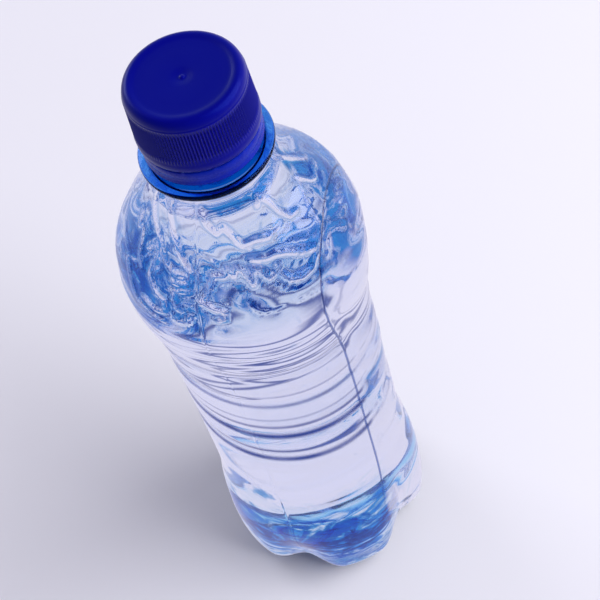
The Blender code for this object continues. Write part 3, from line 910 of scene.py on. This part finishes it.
def build_stage(settings):
    """Floor, light and camera."""
    half = settings.floor_size / 2
    mesh = bpy.data.meshes.new("stage_floor")
    mesh.from_pydata([(-half, -half, 0), (half, -half, 0), (half, half, 0), (-half, half, 0)],
                     [], [(0, 1, 2, 3)])
    mesh.materials.append(matte_paper(settings))
    floor = bpy.data.objects.new("stage_floor", mesh)
    bpy.context.scene.collection.objects.link(floor)
    light_world(settings)
    middle = (0.0, 0.0, 0.5 * CAP_TOP_Z * MM)
    area_lamp("key_lamp", (0.35, 0.90, 0.80), middle, 1.2, settings.lamp_power)
    area_lamp("fill_lamp", (-0.7, -0.4, 0.6), middle, 0.4, 0.1 * settings.lamp_power)

    scene = bpy.context.scene
    camera = bpy.data.cameras.new("camera")
    camera.sensor_width = 36.0
    camera.lens = settings.lens
    holder = bpy.data.objects.new("camera", camera)
    scene.collection.objects.link(holder)
    holder.location = CAMERA_PLACE
    holder.rotation_euler = Euler([math.radians(turn) for turn in CAMERA_TURN])
    scene.camera = holder
    scene.view_settings.view_transform = "Standard"
    # Clear plastic round clear water bends a ray many times before it gets out.
    scene.cycles.max_bounces = 100
    scene.cycles.glossy_bounces = 80
    scene.cycles.transmission_bounces = 100


# ---- settings ------------------------------------------------------------------------------

def number(name, description, value, **kind):
    """A property that holds a number, from 0 up."""
    return bpy.props.FloatProperty(
        name=name, description=description, default=value, min=0.0, **kind)


def length(name, description, millimetres):
    """A length property, kept in metres."""
    return number(
        name, description, millimetres * MM, precision=5, unit="LENGTH", subtype="DISTANCE")


def colour(name, description, hex_colour):
    """A colour property, given as sRGB hex and kept linear."""
    return bpy.props.FloatVectorProperty(
        name=name, description=description, default=linear(hex_colour), size=3, min=0.0, max=1.0,
        subtype="COLOR")


class WaterBottleWall(bpy.types.PropertyGroup):
    """Sizes and colours of the blown wall."""

    wall: length("Wall", "Thickness of the blown plastic", 0.5)
    groove_depth: length("Groove depth", "Depth of the grooves of the grip", 0.4)
    swirl_depth: length("Swell", "Height of the shoulder's broad hills", 0.3)
    wrinkle_height: length("Wrinkles", "Height of the shoulder's sharp wrinkles", 0.55)
    line_depth: length("Drawn line depth", "Height of the fine level lines", 0.07)
    crease_depth: length("Pressed depth", "How far the pressed side sinks at its fold", 0.35)
    furrow_depth: length("Fold depth", "Depth of the thin furrow along the fold", 0.04)
    buckle_depth: length("Buckle depth", "Height of the slanting buckles", 0.22)
    seam_height: length("Seam height", "Height of the mould's two parting lines", 0.06)
    clear_colour: colour("Clear", "Tint of the thin wall", "#FAFBFF")
    wash_colour: colour("Wash", "Tint of the shoulder", "#E8F3FA")
    # Painted refraction of blue: in the shoulder, on the wrinkles' flanks, in the heel's belt and
    # at the base's middle.
    refracted_blue_colour: colour("Pools", "Tint where the blue pools", "#3E9AD8")
    # Partly the thick neck's own tint, partly painted refraction of the blue cap.
    neck_tint_and_refraction_colour: colour("Neck", "Tint of the thick neck and support ring", "#56A6F4")
    # Painted shade where the ring meets the neck, under the tamper band.
    under_band_shade_colour: colour("Ring root", "Tint where the support ring meets the neck", "#001680")
    # Painted refraction of blue in the heel's belt.
    refracted_mid_blue_colour: colour("Base", "Tint of the thick base", "#2496E8")
    # Painted refraction of blue at the heart of the heel's belt and in the lowest groove's
    # crescent.
    refracted_deep_blue_colour: colour("Core", "Tint of the middle of the base", "#0446A4")
    # Painted shade along the crease of the fold.
    fold_shade_colour: colour("Fold", "Tint along the fold", "#123C90")
    # Painted shade along the edges of the grooves.
    groove_shade_colour: colour("Groove edge", "Tint along the edges of the grooves", "#083690")
    # Painted shade along the fold where it runs over the shoulder.
    fold_shade_shoulder_colour: colour("Strained fold", "Tint of the fold over the shoulder", "#8A7C90")
    pressed_colour: colour("Pressed side", "Tint of the pressed side", "#FAFAFF")
    gloss_colour: colour("Gloss", "Tint of the wall's gloss", "#3C64B4")


class WaterBottleWater(bpy.types.PropertyGroup):
    """Colour of the water."""

    colour: colour("Colour", "Colour that deep water takes on", "#B0D4FF")
    density: number("Density", "How fast the water takes on its colour, per metre", 1.0)


class WaterBottleCap(bpy.types.PropertyGroup):
    """Sizes and colours of the cap, its band and its seal."""

    knurls: bpy.props.IntProperty(
        name="Knurls", description="Ridges round the cap", default=120, min=24, max=240)
    knurl_depth: length("Knurl depth", "Depth between two ridges", 0.35)
    bridges: bpy.props.IntProperty(
        name="Bridges", description="Broken bridges on top of the band", default=12, min=3, max=24)
    gloss_colour: colour("Gloss", "Tint of the cap's gloss", "#3C5ADC")
    colour: colour("Cap", "Cobalt blue of the cap", "#06067C")
    deep_colour: colour("Cap, deep", "Darker clouds in the cap", "#050578")
    # Partly the band's dye, partly painted sheen: lighter than the cap's blue.
    band_dye_and_sheen_colour: colour("Band", "Blue of the thin tamper band", "#0A28AC")
    liner_colour: colour("Seal", "Colour of the sealing disc", "#DCE2EC")


class WaterBottleStage(bpy.types.PropertyGroup):
    """Floor, light and camera."""

    floor_size: length("Floor", "Side of the floor", 6000.0)
    floor_colour: colour("Floor", "Colour of the floor", "#ECEAF2")
    backdrop_colour: colour("Backdrop", "Colour all round and through the bottle", "#E2DFF1")
    overhead_colour: colour("Overhead", "Half way up, in gloss and clear plastic", "#9CCDF0")
    zenith_colour: colour("Zenith", "Straight up, in gloss and clear plastic", "#3A8CDC")
    soft_light: number(
        "Soft light cut", "Share of the backdrop's light kept off matt surfaces", 0.6, max=1.0)
    horizon: number(
        "Horizon", "Sine of the height where the backdrop starts to turn", 0.10, max=1.0)
    zenith: number("Zenith", "Sine of the height where the zenith colour is full", 0.85, max=1.0)
    lamp_power: number("Lamp power", "Power of the key lamp", 20.0, unit="POWER")
    lens: number("Lens", "Focal length in millimetres", 87.0, unit="CAMERA")


# ---- operators -----------------------------------------------------------------------------

class WATER_BOTTLE_OT_wall(bpy.types.Operator):
    """Build the blown bottle"""

    bl_idname = "water_bottle.wall"
    bl_label = "Bottle"
    bl_options = {"REGISTER", "UNDO"}

    def execute(self, context):
        build_wall(context.scene.water_bottle_wall)
        return {"FINISHED"}


class WATER_BOTTLE_OT_water(bpy.types.Operator):
    """Fill the bottle with water"""

    bl_idname = "water_bottle.water"
    bl_label = "Water"
    bl_options = {"REGISTER", "UNDO"}

    def execute(self, context):
        build_water(context.scene.water_bottle_water, context.scene.water_bottle_wall)
        return {"FINISHED"}


class WATER_BOTTLE_OT_closure(bpy.types.Operator):
    """Build the screw cap, its tamper band and its sealing disc"""

    bl_idname = "water_bottle.closure"
    bl_label = "Cap, band and seal"
    bl_options = {"REGISTER", "UNDO"}

    def execute(self, context):
        settings = context.scene.water_bottle_cap
        build_cap(settings)
        build_band(settings)
        build_liner(settings)
        return {"FINISHED"}


class WATER_BOTTLE_OT_stage(bpy.types.Operator):
    """Set up the floor, the light and the camera"""

    bl_idname = "water_bottle.stage"
    bl_label = "Stage"
    bl_options = {"REGISTER", "UNDO"}

    def execute(self, context):
        build_stage(context.scene.water_bottle_stage)
        return {"FINISHED"}


class WATER_BOTTLE_PT_panel(bpy.types.Panel):
    """Settings and building steps of the water bottle"""

    bl_label = "Water Bottle"
    bl_space_type = "VIEW_3D"
    bl_region_type = "UI"
    bl_category = "Water Bottle"

    def draw(self, context):
        for operator, group, name in STEPS:
            box = self.layout.box()
            settings = getattr(context.scene, name)
            for setting in group.__annotations__:
                box.prop(settings, setting)
            box.operator(operator.bl_idname)


STEPS = (
    (WATER_BOTTLE_OT_stage, WaterBottleStage, "water_bottle_stage"),
    (WATER_BOTTLE_OT_wall, WaterBottleWall, "water_bottle_wall"),
    (WATER_BOTTLE_OT_water, WaterBottleWater, "water_bottle_water"),
    (WATER_BOTTLE_OT_closure, WaterBottleCap, "water_bottle_cap"),
)


def register():
    for operator, group, name in STEPS:
        bpy.utils.register_class(group)
        setattr(bpy.types.Scene, name, bpy.props.PointerProperty(type=group))
        bpy.utils.register_class(operator)
    bpy.utils.register_class(WATER_BOTTLE_PT_panel)


def unregister():
    bpy.utils.unregister_class(WATER_BOTTLE_PT_panel)
    for operator, group, name in reversed(STEPS):
        bpy.utils.unregister_class(operator)
        delattr(bpy.types.Scene, name)
        bpy.utils.unregister_class(group)


def main():
    """Register the add-on and build everything in order."""
    register()
    for operator, _, _ in STEPS:
        prefix, name = operator.bl_idname.split(".")
        getattr(getattr(bpy.ops, prefix), name)()


if __name__ == "__main__":
    main()
